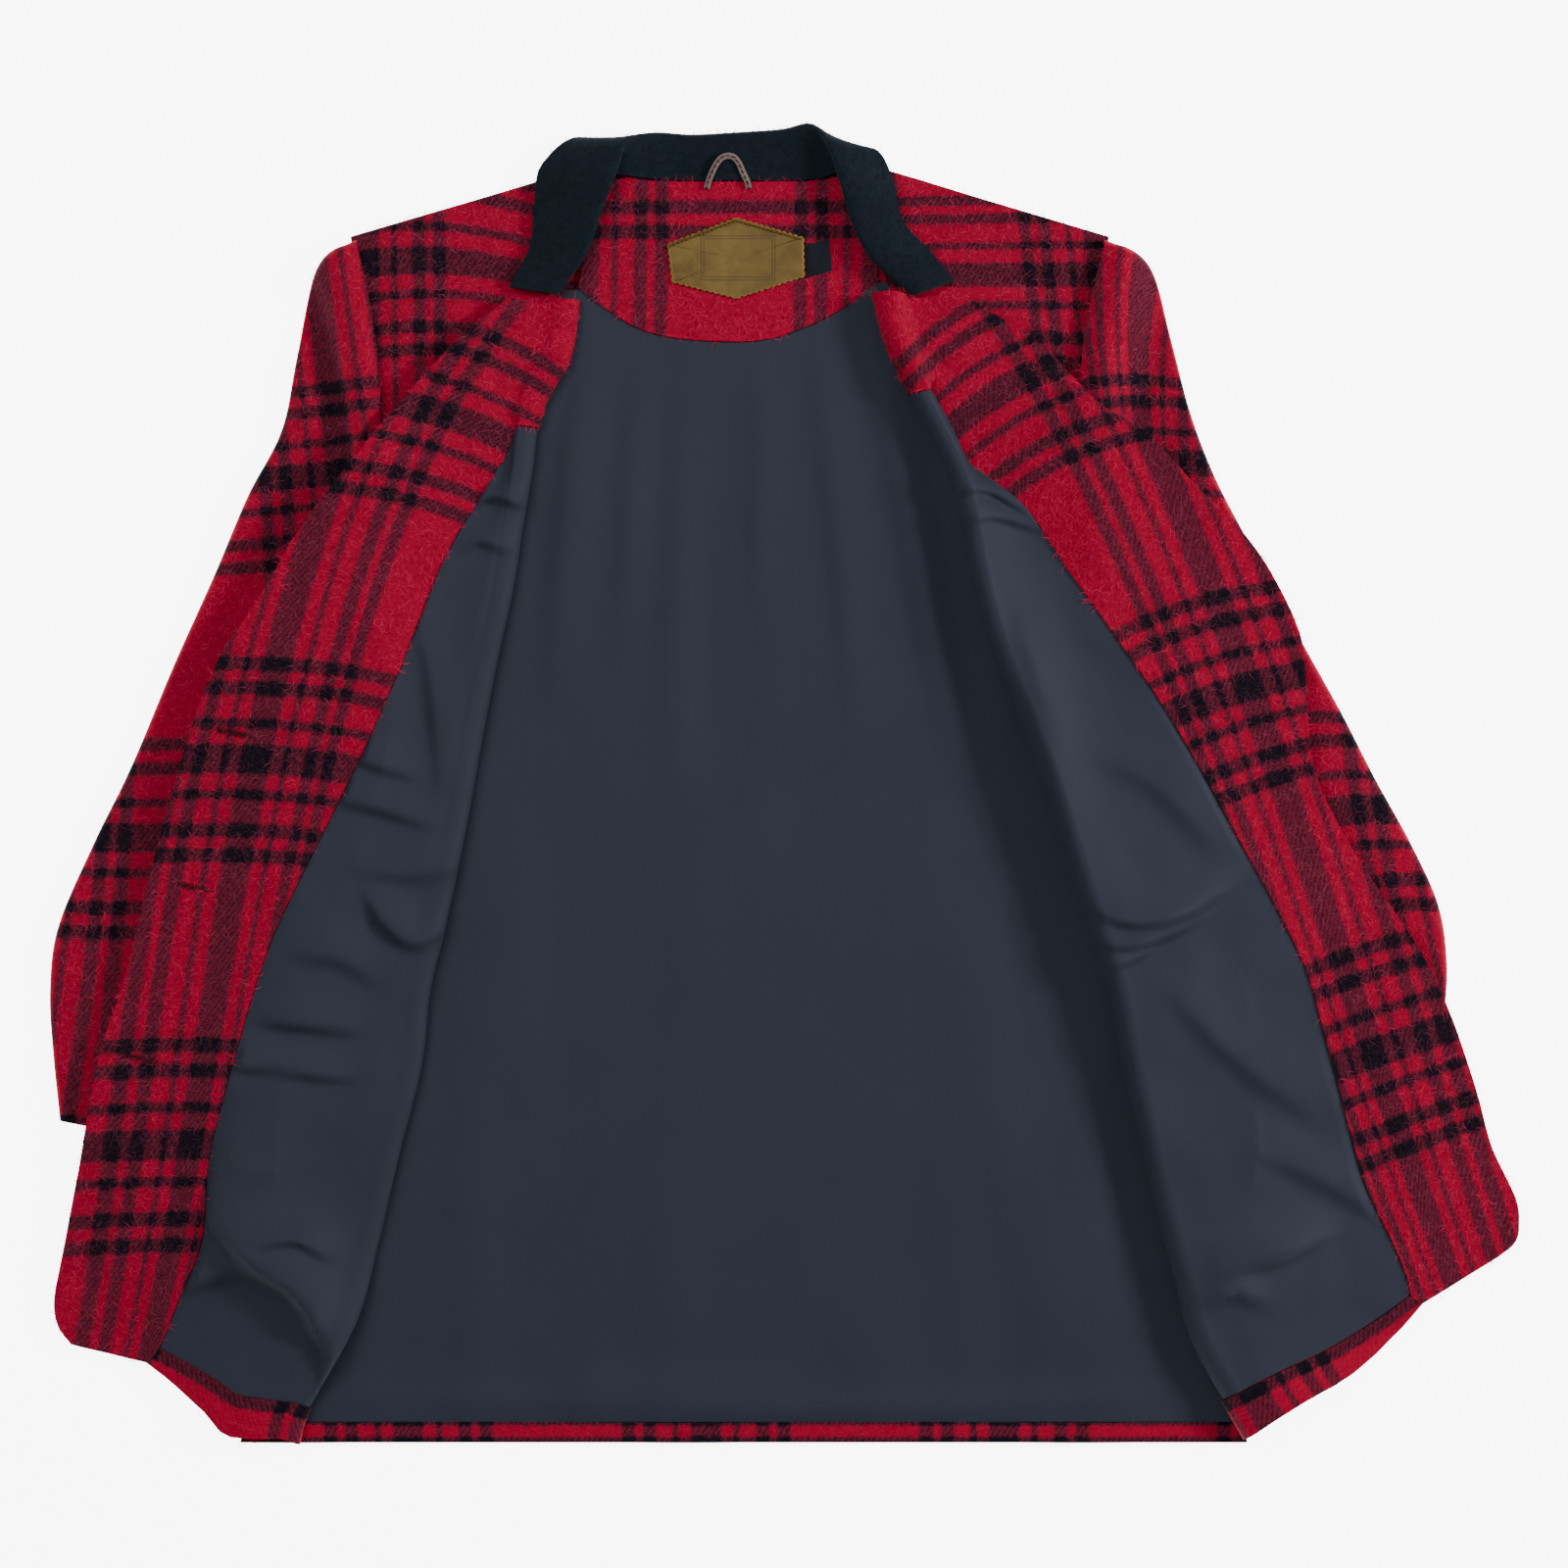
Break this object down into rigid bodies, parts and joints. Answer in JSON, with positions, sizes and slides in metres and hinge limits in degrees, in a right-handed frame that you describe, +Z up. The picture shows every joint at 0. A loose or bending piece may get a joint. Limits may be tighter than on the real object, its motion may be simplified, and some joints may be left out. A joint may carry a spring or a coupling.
{
  "type": "wool blazer",
  "caption": "Lined wool blazer in a red and black check, laid open on its back with its fronts turned outwards, with a dark felt collar and a charcoal lining.",
  "frame": {"origin": "middle of the garment's plan, on the surface that it lies on", "axes": "+X across the garment to the right as it is seen from above, +Y up its length towards the collar, +Z up from the surface"},
  "size_m": [0.8682, 0.7798, 0.0251],
  "materials": {
    "wool_plaid": "brushed wool twill in a red and black check",
    "lining": "soft satin, charcoal",
    "collar_felt": "matt melton felt, very dark green-blue",
    "loop_tape": "woven tape",
    "patch_leather": "bare suede",
    "tab_cloth": "bare woven tab",
    "button": "polished, horn-like"
  },
  "bodies": {
    "root": {"back": "wool_plaid", "back_hem": "wool_plaid", "back_lining": "lining", "neck_facing": "wool_plaid", "left_front": "wool_plaid", "right_front": "wool_plaid", "left_facing": "wool_plaid", "right_facing": "wool_plaid", "left_front_lining": "lining", "right_front_lining": "lining", "left_front_hem": "wool_plaid", "right_front_hem": "wool_plaid", "left_sleeve": "wool_plaid", "right_sleeve": "wool_plaid", "collar": "collar_felt", "hanger_loop": "loop_tape", "neck_patch": "patch_leather", "size_tab": "tab_cloth", "button_1": "button", "button_2": "button", "button_3": "button"}
  },
  "joints": []
}
